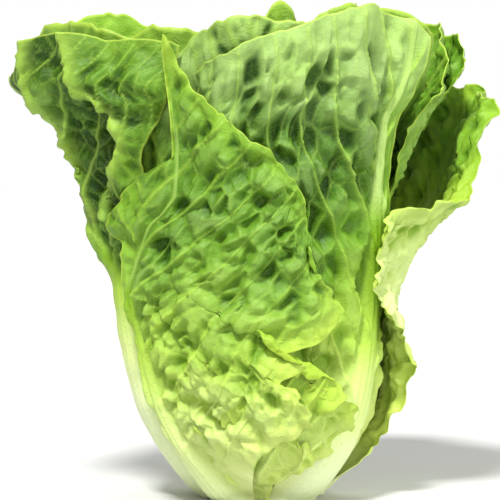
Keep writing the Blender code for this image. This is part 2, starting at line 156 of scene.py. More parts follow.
# ---- the leaves -----------------------------------------------------------------------------
# Millimetres and degrees. A list of pairs is a curve through points.
# layer: 0 is the outermost one.
# rib: height and azimuth of the midrib. rib_width: height and half its width.
# axis: height and azimuth of the line that the side veins spring from, if not the midrib.
# left, right: share of the length and half-angle.
# top: place across (-1 left edge, 0 midrib, 1 right edge) and height of the top margin.
# low: height of the lowest edge, if not where the layer clears the stem.
# lift_left, lift_right: share of the length and outward lift of that margin.
# swell: height and outward lift of the whole leaf. offset: how much further out it lies.
# pleats: height and azimuth, width, and depth of folds that run down from the top margin.
# lip_left, lip_right: how far the last few millimetres of that margin roll outwards.
# frill: size of the margin's ruffles. teeth: size of the margin's notches.
# smooth_edge: distance from the margin at which blisters have their full depth.
# lane, slope, fan: distance between side veins, their rise, and how much steeper they get
# higher up. strong: share of their usual height and width.
# blister, small: size of large and of small blisters. small_share: height of small to large.
# bulge: -1 where all blisters are pits, 1 where all are hills. depth: share of usual depth.
# fine_low: how far small blisters take over low down. shingle: tilt of each lane.
# room: share of waves, blisters and veins that the gap to the next leaf has room for.
# calm: height and share of the blisters that shows.
# bloom_and_sheen: height and strength of the pale wax, painted together with a broad sheen. shade:
# painted shade, a darkness over the level blade.
# youth: height and colour, from 0 for a green top to 1 for a blanched base.
# plain_blade: true of a torn lobe, which has no midrib and is loose all round.
# cells: columns of the grid left and right of the midrib, and rows.
LEAVES = {
    "front_left_leaf": {
        "layer": 0,
        "rib": [(0, -38), (13, -42), (39, -48), (63, -50), (83, -51), (97, -46), (110, -39),
                (117, -32), (123, -28), (145, -27), (182, -29)],
        "left": [(0, 13), (0.14, 6), (0.28, 4), (0.38, 3.5), (0.48, 4), (0.57, 11), (0.65, 24),
                 (0.7, 20), (0.745, 11), (0.765, 2), (1, 0.8)],
        "right": [(0, 30), (0.15, 38), (0.27, 52), (0.345, 69), (0.48, 64), (0.52, 59),
                  (0.585, 70), (0.63, 62), (0.68, 78), (0.8, 87), (1, 71)],
        "top": [(-1, 176), (-0.5, 180), (0, 182), (0.06, 171), (0.14, 162), (0.25, 152),
                (0.45, 139), (0.65, 122), (0.85, 110), (1, 97)],
        "lift_right": [(0, 0.5), (0.08, 3.5), (0.2, 6), (0.4, 6.5), (0.55, 5.5), (0.7, 3.5),
                       (1, 1.5)],
        "rib_width": [(0, 10), (20, 7), (40, 4.5), (60, 3), (80, 2), (100, 1.4), (120, 0.8),
                      (182, 0.5)],
        "frill": 2.0, "teeth": 1.3, "smooth_edge": 17, "cells": (40, 175, 225),
        "lane": 23, "slope": 0.9, "blister": 15, "bulge": 0.1, "seed": 3, "depth": 1.45,
        "offset": 1.7, "small": 7.5, "small_share": 0.6, "fine_low": 0.6, "strong": 0.95,
        "calm": [(8, 0), (34, 1), (140, 1), (175, 0.5)],
        "bloom_and_sheen": [(40, 0.3), (85, 0.2), (115, 0.02), (140, 0.05), (182, 0.15)],
        "youth": [(0, 1), (12, 0.93), (28, 0.8), (45, 0.62), (65, 0.38), (90, 0.2), (115, 0.1),
                  (150, 0.18), (182, 0.28)],
        "axis": [(0, -52), (60, -54), (110, -45), (182, -29)],
    },
    "right_leaf": {
        "layer": 0,
        "rib": [(0, 108), (40, 109), (90, 112), (176, 116)],
        "left": [(0, 28), (0.2, 26), (0.4, 28), (0.56, 33), (0.64, 50), (0.72, 57), (0.82, 60),
                 (1, 60)],
        "right": [(0, 23), (0.2, 23), (0.4, 30), (0.6, 42), (0.8, 50), (1, 44)],
        "top": [(-1, 114), (-0.85, 120), (-0.65, 122), (-0.53, 127), (-0.44, 142),
                (-0.36, 156), (-0.25, 161), (0, 164), (0.4, 172), (0.8, 175), (1, 165)],
        "lift_left": [(0, 0.5), (0.15, 1.5), (0.4, 3), (0.6, 3.5), (0.75, 1), (0.9, 0.5), (1, 1)],
        "swell": [(70, 0), (90, 3), (105, 9), (120, 16), (135, 18), (150, 16), (176, 10)],
        "rib_width": [(0, 10), (40, 6), (90, 3), (176, 1)],
        "frill": 3.0, "teeth": 1.5, "smooth_edge": 10, "cells": (125, 75, 220),
        "lip_left": 5.0, "seed": 11,
        # Its pale wax and youth are raised over the low margin, the apron and the inside: painted
        # light, paler colour on faces that lie in shade or that light shines through.
        "bloom_and_sheen": [(60, 0.3), (75, 1), (120, 1), (135, 0.7), (150, 0.3)],
        "youth": [(0, 1), (60, 0.72), (75, 0.8), (95, 0.75), (115, 0.5), (135, 0.27),
                  (176, 0.16)],
    },
    "back_left_outer_leaf": dict(
        plain_leaf(-141, 0, 171, 0.92, 3),
        right=[(0, 19), (0.2, 19), (0.4, 24), (0.6, 29), (0.8, 27), (1, 23)],
        lift_left=[(0, 0), (0.6, 1), (1, 5)],
        frill=2.5, cells=(80, 70, 200), seed=23),
    "left_leaf": {
        "layer": 1,
        "rib": [(0, -86), (20, -77), (60, -73), (90, -76), (115, -84), (140, -88),
                (184, -88)],
        "left": [(0, 27), (0.1, 36), (0.2, 39), (0.4, 46), (0.6, 46), (0.8, 50), (1, 44)],
        "right": [(0, 28), (0.1, 25), (0.2, 20), (0.3, 21), (0.45, 27), (0.62, 38), (0.7, 42),
                  (0.78, 47), (0.88, 56), (1, 60)],
        "top": [(-1, 150), (-0.5, 162), (-0.25, 165), (0, 168), (0.15, 176), (0.27, 182),
                (0.5, 185), (0.75, 182), (0.9, 182), (1, 180)],
        "pleats": [([(100, -82), (138, -75), (165, -72), (182, -71)], 6.0, 14),
                   ([(110, -66), (120, -62), (128, -55), (146, -47), (157, -50), (165, -55),
                     (182, -57)], 6.0, 13),
                   ([(130, -112), (180, -108)], 6.0, 6)],
        "swell": [(0, 0), (148, 0), (160, 3.5), (166, 5.5), (172, 3), (184, 0)],
        "rib_width": [(0, 11), (20, 12), (60, 11), (88, 8), (115, 3.5), (184, 1)],
        "frill": 1.0, "teeth": 0.35, "smooth_edge": 16, "cells": (85, 115, 220), "seed": 31,
        "calm": [(75, 0), (105, 1), (150, 1), (175, 0.5)],
        "bloom_and_sheen": [(90, 0), (160, 0), (184, 0.1)], "depth": 1.6, "room": 0.85,
        "shade": 0.35,
        "youth": [(0, 1), (30, 0.95), (60, 0.78), (82, 0.35), (100, 0.1), (130, 0)],
    },
    "front_right_leaf": {
        "layer": 1,
        "rib": [(0, 38), (15, 46), (31, 49), (50, 55), (67, 59), (79, 61), (103, 60),
                (133, 58.5), (152, 58.5), (163, 60.5), (178, 62), (190, 62)],
        "left": [(0, 33), (0.2, 36), (0.4, 54), (0.6, 71), (0.8, 79), (1, 82)],
        "right": [(0, 27), (0.2, 27), (0.4, 27), (0.5, 21), (0.6, 9), (0.8, 5.5), (1, 4)],
        "top": [(-1, 168), (-0.82, 179), (-0.6, 186), (-0.44, 191.5), (-0.35, 194.5),
                (-0.21, 195.5), (-0.07, 192.5), (0, 191), (1, 184)],
        "rib_width": [(0, 12), (20, 11), (45, 9), (70, 6.5), (103, 4.8), (127, 3.4),
                      (139, 2.4), (180, 1)],
        "frill": 0.8, "teeth": 0.5, "smooth_edge": 12, "cells": (165, 40, 230),
        "lane": 31, "slope": 0.95, "fan": 0.5, "blister": 20, "bulge": 0.0, "seed": 43,
        "depth": 1.85, "room": 0.8, "offset": 0.7,
        "small": 8.5, "small_share": 0.6, "shingle": 1.4, "strong": 1.2,
        "bloom_and_sheen": [(40, 0.3), (60, 0.1), (125, 0.02), (150, 0.15), (168, 0.6), (195, 0.9)],
        "calm": [(28, 0), (58, 1), (160, 1), (180, 0.6), (195, 0.3)],
    },
    "back_leaf": dict(
        plain_leaf(163, 1, 190, 1.0, -8),
        left=[(0, 27), (0.2, 27), (0.4, 34), (0.6, 44), (0.78, 54), (0.9, 62), (1, 64)],
        top=[(-1, 176), (-0.8, 184), (-0.5, 188), (0, 190), (0.4, 186), (0.75, 174),
             (1, 152)],
        frill=2.2, cells=(105, 85, 210), seed=53),
    "front_middle_leaf": dict(
        plain_leaf(-12, 2, 191, 0.98, 15), cells=(70, 70, 150), seed=61,
        bloom_and_sheen=[(140, 0.1), (175, 0.5), (191, 0.7)]),
    "right_inner_leaf": dict(
        plain_leaf(107, 2, 191, 1.0, 4),
        left=[(0, 25), (0.15, 25.5), (0.3, 31), (0.5, 40), (0.65, 34), (1, 33)],
        lift_left=[(0, 0), (0.68, 0), (0.8, 3), (1, 3)],
        top=[(-1, 158), (-0.7, 169), (-0.4, 180), (0, 191), (0.4, 187), (0.75, 175),
             (1, 153)],
        cells=(90, 70, 170), seed=67, room=1.0, bulge=0.6, blister=11, lane=14, depth=1.2,
        # its pale wax is raised as a painted highlight on a leaf that lies in shade
        bloom_and_sheen=[(60, 0.1), (191, 0.4)]),
    "back_left_tall_leaf": dict(
        plain_leaf(-129, 2, 197, 1.0, -1),
        top=[(-1, 160), (-0.7, 172), (-0.5, 180), (-0.3, 190), (-0.15, 194), (0, 194),
             (0.2, 188.5), (0.4, 182), (0.7, 172), (1, 160)],
        cells=(70, 70, 150), seed=71,
        youth=[(0, 1), (60, 0.3), (110, 0.08), (197, 0.06)]),
}
INNER_LEAVES = [
    # azimuth, layer, height, spread
    (48, 3, 196, 0.98), (166, 3, 186, 0.98), (-70, 3, 189, 0.98),
    (12, 4, 198, 0.94), (138, 4, 183, 0.98), (-102, 4, 187, 0.98),
    (-41, 5, 188, 0.98), (79, 5, 185, 0.98), (-161, 5, 182, 0.98),
    (48, 6, 184, 1.5), (-132, 6, 180, 1.5),
    (-42, 7, 176, 1.5), (138, 7, 178, 1.5),
    (4, 8, 171, 1.5), (-174, 8, 167, 1.5),
    (94, 9, 160, 1.45), (-86, 9, 163, 1.45),
    (30, 10, 148, 2.6),
]
POINTED_LEAF = 4
for number, (azimuth, layer, top, spread) in enumerate(INNER_LEAVES, 1):
    outline = POINTED_TOP if number == POINTED_LEAF else ROUND_TOP
    LEAVES[f"inner_leaf_{number:02d}"] = dict(
        plain_leaf(azimuth, layer, top, spread, 0, outline), seed=100 + 7 * number)
OUTER_LAYERS, INNER_LAYERS, HEART_LAYERS = range(3), range(3, 6), range(6, 11)

# thin torn lobes that hang out of the front left leaf's lower right margin
FRILLS = {
    "torn_lobe_upper": {
        "layer": 0, "low": 34, "offset": 1.5, "rib": [(0, -8), (80, -2)],
        "left": [(0, 12), (1, 12)], "right": [(0, 24), (0.3, 38), (0.6, 40), (0.85, 33),
                                             (1, 20)],
        "top": [(-1, 62), (0, 66), (0.4, 68), (0.7, 64), (1, 56)]},
    "torn_lobe_middle": {
        "layer": 0, "low": 15, "offset": 1.0, "rib": [(0, -14), (60, 0)],
        "left": [(0, 8), (1, 16)], "right": [(0, 30), (0.25, 48), (0.47, 58), (0.62, 50),
                                            (0.8, 50), (1, 34)],
        "top": [(-1, 52), (0, 54), (0.5, 54), (0.8, 50), (1, 44)]},
    "torn_lobe_lower": {
        "layer": 0, "low": 1.5, "offset": 3.4, "rib": [(0, -8), (40, -14)],
        "left": [(0, 18), (1, 20)], "right": [(0, 14), (0.2, 17), (0.5, 34), (0.75, 40),
                                            (1, 36)],
        "top": [(-1, 34), (0, 32), (0.6, 30), (1, 26)]},
}
FRILL_SHARED = {"frill": 2.2, "teeth": 2.2, "cells": (20, 90, 90), "plain_blade": True,
                "smooth_edge": 6, "lift_right": [(0, 1), (0.5, 3), (1, 3)]}

# what a leaf has when its own settings don't say otherwise
PLAIN = {
    "frill": 1.4, "teeth": 0.8, "cells": (40, 40, 88), "smooth_edge": 8, "offset": 0.0,
    "lane": 17.0, "slope": 1.05, "blister": 13.0, "bulge": -0.1, "plain_blade": False,
    "depth": 0.85, "small": 8.0, "small_share": 0.5, "shingle": 0.0, "fine_low": 0.0,
    "strong": 1.0, "fan": 0.0, "shade": 0.0,
    "calm": [(20, 0), (50, 1), (200, 1)], "bloom_and_sheen": [(0, 0.1), (200, 0.2)],
    "youth": [(0, 1.0), (12, 0.93), (28, 0.8), (45, 0.6), (65, 0.4), (90, 0.2), (120, 0.05),
              (150, 0)],
    "rib_width": [(0, 9), (30, 6), (80, 3), (190, 0.9)],
}


# ---- patterns -------------------------------------------------------------------------------
# wavelength and size of each noise, in millimetres unless another unit is given
SIDE_NOTCHES = [(2.6, 1.0), (9, 1.9)]      # size in degrees
TOP_NOTCHES = [(2.2, 0.9), (8, 2.0)]       # wavelength in degrees
VEIN_BENDS = [(31, 4.0), (11, 1.4)]
BLISTER_DRIFT = [(12, 2.5)]
MARGIN_RUFFLES = [(8, 1.0), (3.5, 0.45)]
BLADE_WAVES = [(24, 2.2), (7, 0.6)]
YOUTH_CLOUDS = [(15, 0.08)]                # size as a share of youth


def lattice(ix, iy, seed):
    """A fixed random number from 0 to 1 for each whole-number point, by mixing its bits."""
    h = (ix.astype(np.int64) * 374761393 + iy.astype(np.int64) * 668265263
         + seed * 974634777) & 0xFFFFFFFF
    h = ((h ^ (h >> 13)) * 1274126177) & 0xFFFFFFFF
    return ((h ^ (h >> 16)) & 0xFFFFFF) / 0xFFFFFF


def noise(x, y, seed):
    """Smooth noise from -1 to 1: lattice numbers blended with eased weights."""
    ix, iy = np.floor(x), np.floor(y)
    tx, ty = ease(x - ix), ease(y - iy)
    low = lattice(ix, iy, seed) * (1 - tx) + lattice(ix + 1, iy, seed) * tx
    high = lattice(ix, iy + 1, seed) * (1 - tx) + lattice(ix + 1, iy + 1, seed) * tx
    return 2 * (low * (1 - ty) + high * ty) - 1


def waves(table, x, y, seed):
    """Sum of noises: one for each wavelength and size in the table."""
    return sum(size * noise(x / length, y / length, seed + number)
               for number, (length, size) in enumerate(table))


def cell_borders(x, y, width, height, jitter, seed):
    """Cells round the points of a jittered grid.

    Returns the distance from each place to the line halfway between its two nearest points, and
    a random number from 0 to 1 for the nearest point.
    """
    cx, cy = np.floor(x / width), np.floor(y / height)
    near = np.full(x.shape, np.inf)
    next_near = np.full(x.shape, np.inf)
    nx = ny = mx = my = mark = np.zeros(x.shape)
    for i in (-1, 0, 1):
        for j in (-1, 0, 1):
            gx, gy = cx + i, cy + j
            px = (gx + 0.5 + jitter * (lattice(gx, gy, seed) - 0.5)) * width
            py = (gy + 0.5 + jitter * (lattice(gx, gy, seed + 1) - 0.5)) * height
            d = np.hypot(px - x, py - y)
            first = d < near
            second = ~first & (d < next_near)
            mx = np.where(first, nx, np.where(second, px, mx))
            my = np.where(first, ny, np.where(second, py, my))
            next_near = np.where(first, near, np.where(second, d, next_near))
            nx, ny = np.where(first, px, nx), np.where(first, py, ny)
            mark = np.where(first, lattice(gx, gy, seed + 2), mark)
            near = np.where(first, d, near)
    apart = np.hypot(mx - nx, my - ny)
    return (next_near ** 2 - near ** 2) / (2 * np.maximum(apart, 1e-6)), mark


# ---- leaf geometry --------------------------------------------------------------------------
BASE_SHARE = 0.15          # lowest share of a leaf's length, where its sides are held
NOTCHES_FROM = 0.12        # share of the length above which the sides are notched
SIDE_BAND = (0.7, 0.3)     # side notches begin at this place across, and grow over this
TOP_BAND = (0.8, 0.2)      # the same along, for the top margin
FULL_HALF_ANGLE = 16.0     # a narrower half is notched less
PLEAT_STEEPNESS = (0.6, 2.2)      # of a pleat's right and left flank
PLEAT_ROUNDING = 0.02
PLEAT_BEFORE, PLEAT_GROWS = 12.0, 40.0   # starts this far below its line, grows over this
PLEAT_DROP = 0.12          # how far the blade sinks away from a pleat, as a share of it
VALLEY_PLACE = 1.5         # a pleat's valley lies this many widths to its left
TOP_GAP_SHARE = 1.1        # a top margin's slant makes the way to it longer


def leaf_shape(leaf, across, along):
    """Smooth shape of a leaf, in millimetres and degrees, before any ruffle or blister.

    The height runs from where the layer clears the stem to the top margin; the azimuth is the
    midrib's plus a share of the half-angle; the radius is the layer's, plus swell, margin lift
    and pleats. Both outlines are notched by noise of two wavelengths. A pleat is high by
    exp(-distance), with a rounded top. Also returned: how near a place is to a pleat's fold
    and valley, the way from the side veins' axis to the midrib, and the ways to the margins.
    """
    seed, teeth = leaf["seed"], leaf["teeth"]
    low = leaf.get("low", base_height(leaf["layer"]))
    half = np.where(across < 0, through(leaf["left"], along), through(leaf["right"], along))
    side = np.where(across < 0, -1.0, 1.0)
    top = through(leaf["top"], across)
    z = low + along * (top - low)
    rib = through(leaf["rib"], z)
    azimuth = rib + across * half
    notches = sum(size * noise(z / length, side, seed + number)
                  for number, (length, size) in enumerate(SIDE_NOTCHES))
    notches = notches * ease((along - NOTCHES_FROM) / BASE_SHARE)
    notches = notches * ease((np.abs(across) - SIDE_BAND[0]) / SIDE_BAND[1])
    azimuth = azimuth + side * teeth * notches * ease(half / FULL_HALF_ANGLE)
    dips = waves(TOP_NOTCHES, azimuth, 0 * z, seed + 2)
    z = z + teeth * dips * ease((along - TOP_BAND[0]) / TOP_BAND[1])
    radius = layer_radius(z, azimuth, leaf["layer"]) + leaf["offset"]
    for sign, key in ((-1, "lift_left"), (1, "lift_right")):
        if key in leaf:
            near_margin = ease((sign * across - LIFT_STARTS) / (1 - LIFT_STARTS))
            radius = radius + near_margin * through(leaf[key], along)
    if "swell" in leaf:
        radius = radius + through(leaf["swell"], z) * ease((1 + across) / SWELL_FADE)
    fold = valley = np.zeros(z.shape)
    for line, width, height in leaf.get("pleats", ()):
        gap = turn_gap(azimuth, through(line, z)) / width
        steepness = np.where(gap > 0, *PLEAT_STEEPNESS)
        ridge = np.exp(-np.sqrt(steepness * gap ** 2 + PLEAT_ROUNDING))
        folded = ease((z - line[0][0] + PLEAT_BEFORE) / PLEAT_GROWS)
        radius = radius + height * (ridge - PLEAT_DROP) * folded
        # fold and valley: where the material paints a highlight along the ridge and shade in the
        # valley
        fold = np.maximum(fold, np.exp(-(3 * gap) ** 2) * folded)
        valley = np.maximum(valley, np.exp(-((gap + VALLEY_PLACE) ** 2)) * folded)
    off_axis = np.radians(rib - through(leaf.get("axis", leaf["rib"]), z)) * radius
    return {"z": z, "azimuth": azimuth, "radius": radius, "rib": rib, "fold": fold,
            "valley": valley, "off_axis": off_axis,
            "side_gap": np.radians(half) * radius * (1 - np.abs(across)),
            "top_gap": TOP_GAP_SHARE * (top - low) * (1 - along)}


def place_points(z, azimuth, radius):
    """Points in millimetres from height, azimuth and radius, with the head's lean."""
    a = np.radians(azimuth)
    x = radius * np.sin(a) + LEAN * ease((z - LEAN_FROM) / (LEAN_TO - LEAN_FROM))
    return np.stack([x, -radius * np.cos(a), z], axis=-1)


BUMP_JITTER = 0.75
BUMP_REACH = (0.44, 0.24)  # smallest reach, and how much more the largest has


def bumps(x, y, bulge, seed):
    """Rounded hills and pits, from about -1 to 1, one round each point of a jittered unit grid.

    Each is exp(-(distance / reach) ** 4) high, with its own reach, height and sign. bulge is
    -1 where all are pits and 1 where all are hills.
    """
    cx, cy = np.floor(x), np.floor(y)
    total = np.zeros(x.shape)
    for i in (-1, 0, 1):
        for j in (-1, 0, 1):
            gx, gy = cx + i, cy + j
            dx = gx + 0.5 + BUMP_JITTER * (lattice(gx, gy, seed) - 0.5) - x
            dy = gy + 0.5 + BUMP_JITTER * (lattice(gx, gy, seed + 1) - 0.5) - y
            size = lattice(gx, gy, seed + 2)
            sign = np.where(lattice(gx, gy, seed + 3) < 0.5 * (1 + bulge), 1.0, -1.0)
            reach = BUMP_REACH[0] + BUMP_REACH[1] * size
            total += sign * (0.5 + 0.5 * size) * np.exp(-((dx * dx + dy * dy) / reach ** 2) ** 2)
    return total


VEIN_CURVE = 0.003         # how fast side veins turn upwards on their way out
VEIN_SAG, SAG_REACH = 9.0, 7.0    # they leave the midrib this much lower, over this distance
OTHER_SIDE = 400.0         # moves the left half's blisters along, so the halves differ
HELD_BY_VEIN = 2.4         # blisters die out this close to a side vein
CELL_JITTER, FINE_JITTER = 0.8, 0.9
CELL_LENGTH = 0.6          # a cell's length along its lane, in large blisters
PILLOW_EDGE = 0.22         # how much of a large blister is its rounded edge
PILLOW_SHARE, BUMP_SHARE = 0.75, 0.45
BUMPS_PER_LANE = 1.5
DOME_EDGE = 0.55           # how much of a small blister is its rounded edge
VEIN_WIDTH = (0.38, 1.3, 20.0)    # far out, how much more at the midrib, fading distance
VEIN_HEIGHT = (0.5, 1.5, 26.0)
NET_WIDTH, FINE_WIDTH = 0.4, 0.35


def leaf_relief(leaf, a, b):
    """Side veins and blisters in flat coordinates: a from the midrib, b up it.

    Side veins rise from the midrib a lane apart: a vein is where (b - rise(a)) / lane is whole.
    The rise is slope times the way out, more where the veins fan out higher up, and less close
    to the midrib, where they sag. Cells of jittered grids, large ones along the lanes and small
    ones anywhere, give the nets of thinner veins. Blisters are pillows inside those cells plus
    rounded bumps, and the large ones die out at their side veins. All are bent by slow noise.
    """
    seed, lane, slope = leaf["seed"], leaf["lane"], leaf["slope"]
    out = np.abs(a)
    bend = waves(VEIN_BENDS, a, b, seed + 4)
    drift = waves(BLISTER_DRIFT, a, b, seed + 18)
    fan = leaf["fan"] / 100
    rise = slope * out * (1 + fan * b) + VEIN_CURVE * out ** 2 - VEIN_SAG * np.exp(-out / SAG_REACH)
    phase = (b - rise + bend) / lane + np.where(a < 0, 0.5, 0.0)
    slant = math.hypot(1, slope)
    climb = np.hypot(1 - slope * fan * out, slope * (1 + fan * b))
    to_vein = np.abs((phase + 0.5) % 1 - 0.5) * lane / climb
    along_lane = (out + slope * b) / slant + drift + np.where(a < 0, OTHER_SIDE, 0)
    held = 1 - np.exp(-((to_vein / HELD_BY_VEIN) ** 2))
    border, cell = cell_borders(phase * lane / slant, along_lane, 0.5 * lane / slant,
                                CELL_LENGTH * leaf["blister"], CELL_JITTER, seed + 6)
    hill = np.where((7.3 * cell) % 1 < 0.5 * (1 + leaf["bulge"]), 1.0, -1.0)
    pillow = hill * (0.5 + 0.5 * cell) * ease(border / (PILLOW_EDGE * leaf["blister"]))
    large_bumps = bumps(BUMPS_PER_LANE * phase, along_lane / leaf["blister"], leaf["bulge"],
                        seed + 12)
    small_x, small_y = (a + 0.6 * bend) / leaf["small"], (b + drift) / leaf["small"]
    fine, mark = cell_borders(small_x, small_y, 1, 1, FINE_JITTER, seed + 9)
    fine = fine * leaf["small"]
    dome = ease(fine / (DOME_EDGE * leaf["small"])) ** 0.7
    dome = dome * (0.9 * mark - 0.1 + 0.3 * leaf["bulge"])
    thin, wider, reach = VEIN_WIDTH
    width = leaf["strong"] * (thin + wider * np.exp(-out / reach))
    flat, higher, reach = VEIN_HEIGHT
    return {
        "side_vein": np.exp(-((to_vein / width) ** 2)),
        "vein_height": leaf["strong"] * (flat + higher * np.exp(-out / reach)),
        "net": np.exp(-((border / NET_WIDTH) ** 2)),
        "fine": np.exp(-((fine / FINE_WIDTH) ** 2)),
        "large": held * (PILLOW_SHARE * pillow + BUMP_SHARE * large_bumps),
        "small": dome + 0.6 * bumps(small_x, small_y, leaf["bulge"], seed + 16),
        "step": phase % 1 - 0.5,
    }


def unit_normals(points):
    """Unit normals of a grid of points: the cross product of its two tangents."""
    normal = np.cross(np.gradient(points, axis=1), np.gradient(points, axis=0))
    return normal / np.maximum(np.linalg.norm(normal, axis=-1, keepdims=True), 1e-9)


OUTERMOST_LAYER = 1        # up to here a leaf has its full relief and a thick midrib
INNER_ROOM = 0.5
INNER_RIB_WIDTH = 0.7
LIP_REACH = 9.0
HELD_BASE = 60.0           # stands for the way to a margin at the base, which has none
RUFFLE_REACH = 11.0
WAVES_FROM, WAVES_GROW = 35.0, 60.0        # heights at which the blade's slow waves set in
RIB_MARGIN = 4.0           # blisters grow to full depth over this way from the midrib
FINE_TOP, FINE_GROWS = 115.0, 45.0         # heights below which small blisters take over
DEEPEST, HIGHEST = -3.1, 2.9               # limits of the blisters
OUTER_BAR, INNER_BAR = (4.2, 0.7), (1.7, 0.4)   # midrib's height: most, share of half-width
GROOVE_DEPTH, GROOVE_TURN = 0.1, 2.4
NET_HEIGHT, FINE_HEIGHT = 0.22, 0.08
THIN_MARGIN = (0.55, 4.0)  # share of the blade's thickness at a margin; way to its full one
PAINTED_VEINS = {"side_vein": 0.6, "net": 0.27, "fine": 0.06}
RIM_WIDTH, MARGIN_WIDTH = 0.5, 12.0


def leaf_faces(leaf, settings):
    """Outer and inner faces of a leaf, what its material needs, and its flat coordinates.

    Each face is the smooth shape moved along its normal by the margin's ruffles, the blisters,
    half the blade, and on the outer face the veins and the rounded bar of the midrib. The flat
    coordinates are the level arc from the side veins' axis, and the length up the midrib.
    """
    left, right, rows = leaf["cells"]
    columns = np.concatenate([np.linspace(-1, 0, left + 1)[:-1], np.linspace(0, 1, right + 1)])
    across, along = np.meshgrid(columns, np.linspace(0, 1, rows + 1))
    shape = leaf_shape(leaf, across, along)
    z, seed = shape["z"], leaf["seed"]
    loose = leaf["plain_blade"]
    held_base = HELD_BASE * ease((BASE_SHARE - along) / BASE_SHARE) * (not loose)
    edge = np.minimum(shape["side_gap"] + held_base, shape["top_gap"])
    outermost = leaf["layer"] <= OUTERMOST_LAYER
    room = leaf.get("room", 1.0 if outermost else INNER_ROOM)

    radius = shape["radius"]
    for sign, key in ((-1, "lip_left"), (1, "lip_right")):
        if key in leaf:
            roll = ease(1 - shape["side_gap"] / LIP_REACH) * (sign * across > 0)
            roll = roll * ease(along / BASE_SHARE)
            rise = ease(1 - shape["top_gap"] / LIP_REACH) * ease((sign * across - 0.3) / 0.2)
            radius = radius + leaf[key] * np.maximum(roll, rise)
    points = place_points(z, shape["azimuth"], radius)
    normal = unit_normals(points)
    level = np.diff(points[..., :2], axis=1, prepend=points[:, :1, :2])
    turn = np.diff(shape["azimuth"], axis=1, prepend=shape["azimuth"][:, :1])
    arc = np.cumsum(np.sign(turn) * np.linalg.norm(level, axis=-1), axis=1)
    rib = shape["rib"]
    rib_a = arc - arc[:, left:left + 1] + np.radians(rib[:, left:left + 1] - rib) * radius
    a = rib_a + shape["off_axis"]
    line = points[:, left]
    length = np.cumsum(np.linalg.norm(np.diff(line, axis=0, prepend=line[:1]), axis=-1))
    b = np.interp(z, line[:, 2], length) + 1.2 * np.maximum(z - line[-1, 2], 0)
    relief = leaf_relief(leaf, a, b)

    near_edge = np.exp(-((edge / RUFFLE_REACH) ** 2))
    wave = leaf["frill"] * near_edge * waves(MARGIN_RUFFLES, a, b, seed + 12)
    slow = room * ease((z - WAVES_FROM) / WAVES_GROW)
    wave = wave + slow * waves(BLADE_WAVES, a, b, seed + 14)

    rib_half = through(leaf["rib_width"], z) * (1.0 if outermost else INNER_RIB_WIDTH)
    from_rib = np.abs(rib_a) / rib_half
    clear = ease((np.abs(rib_a) - 0.9 * rib_half) / RIB_MARGIN) * through(leaf["calm"], z)
    clear = clear * (0.2 + 0.8 * ease(edge / leaf["smooth_edge"]))
    if loose:
        clear = 0.5 * ease(edge / leaf["smooth_edge"])
    depth = settings.blister_depth / MM * leaf["depth"] * room
    low = leaf["fine_low"] * ease((FINE_TOP - z) / FINE_GROWS)
    blisters = (1 - 0.45 * low) * relief["large"] + (
        leaf["small_share"] * (1 + 0.9 * low) * relief["small"])
    height = np.clip(depth * blisters, DEEPEST, HIGHEST) + leaf["shingle"] * relief["step"]
    middle = points + normal * (wave + clear * (height - 0.3 * leaf["bulge"] * depth))[..., None]

    thick = ease((rib_half - 3) / 4)
    crisp = np.sqrt(np.clip(1 - from_rib ** 2, 0, 1))
    bar = (thick * np.exp(-1.5 * from_rib ** 3) + (1 - thick) * crisp) * (not loose)
    highest, share = OUTER_BAR if outermost else INNER_BAR
    rib_height = np.minimum(highest, share * rib_half) * bar
    ripple = 2 * noise(a / 5, b / 40, seed + 16)
    grooves = GROOVE_DEPTH * np.sin(GROOVE_TURN * rib_a + ripple) * bar
    veins = (relief["vein_height"] * relief["side_vein"] + NET_HEIGHT * relief["net"]
             + FINE_HEIGHT * relief["fine"]) * ease((np.abs(rib_a) - 0.3 * rib_half) / 3)
    green = ease((z - leaf["calm"][0][0]) / 25) if not loose else 1.0
    veins = veins * ease(edge / 4) * green * room
    least, full_at = THIN_MARGIN
    thin = settings.blade / MM * (least + (1 - least) * ease(edge / full_at))
    outer = middle + normal * (0.5 * thin + rib_height + grooves + veins)[..., None]
    inner = middle - normal * (0.5 * thin)[..., None]

    youth = through(leaf["youth"], z) + waves(YOUTH_CLOUDS, a, b, seed + 17)
    youth = youth + 0.04 * leaf["layer"]
    if loose:
        youth = youth - 0.15
    bloom_and_sheen = through(leaf["bloom_and_sheen"], z) * (1 - bar)
    relieved = clear * blisters
    painted = {key: share * relief[key] * green for key, share in PAINTED_VEINS.items()}
    # Painted shade: the blade is darkened in the blisters' pits, in the pleats' valleys and, by the
    # leaf's shade, all over. Painted highlight: it is paled on the blisters' tops, over the pale
    # wax and its painted sheen.
    outer_painted_shade = leaf["shade"] + 1.2 * shape["valley"] - 1.7 * relieved
    outer_bloom_and_highlight = bloom_and_sheen + 0.28 * np.maximum(relieved, 0)
    marks = {
        # pale veins, and along the pleats' folds the same pale colour as a painted highlight
        "vein": np.maximum.reduce([painted["side_vein"] * ease(edge / 3), painted["net"],
                                   painted["fine"], 0.75 * shape["fold"]]),
        "bar": ease(1.6 * bar) * (0.5 + 0.5 * ease(rib_half / 2.5)),
        # inner face: painted shade in its pits behind the outer face's hills, and a painted
        # highlight on its hills behind the outer face's pits
        "painted_shade": np.clip(np.stack([outer_painted_shade, 0.8 * relieved]), 0, 1),
        "bloom_and_highlight": np.clip(np.stack([outer_bloom_and_highlight, -0.3 * relieved]), 0, 1),
        "rim": np.exp(-((edge / RIM_WIDTH) ** 2)),
        "youth": np.clip(youth, 0, 1),
        "margin": np.exp(-((edge / MARGIN_WIDTH) ** 2)),
    }
    return outer, inner, marks, np.stack([a, b], axis=-1)


UV_PER_MM = 0.01


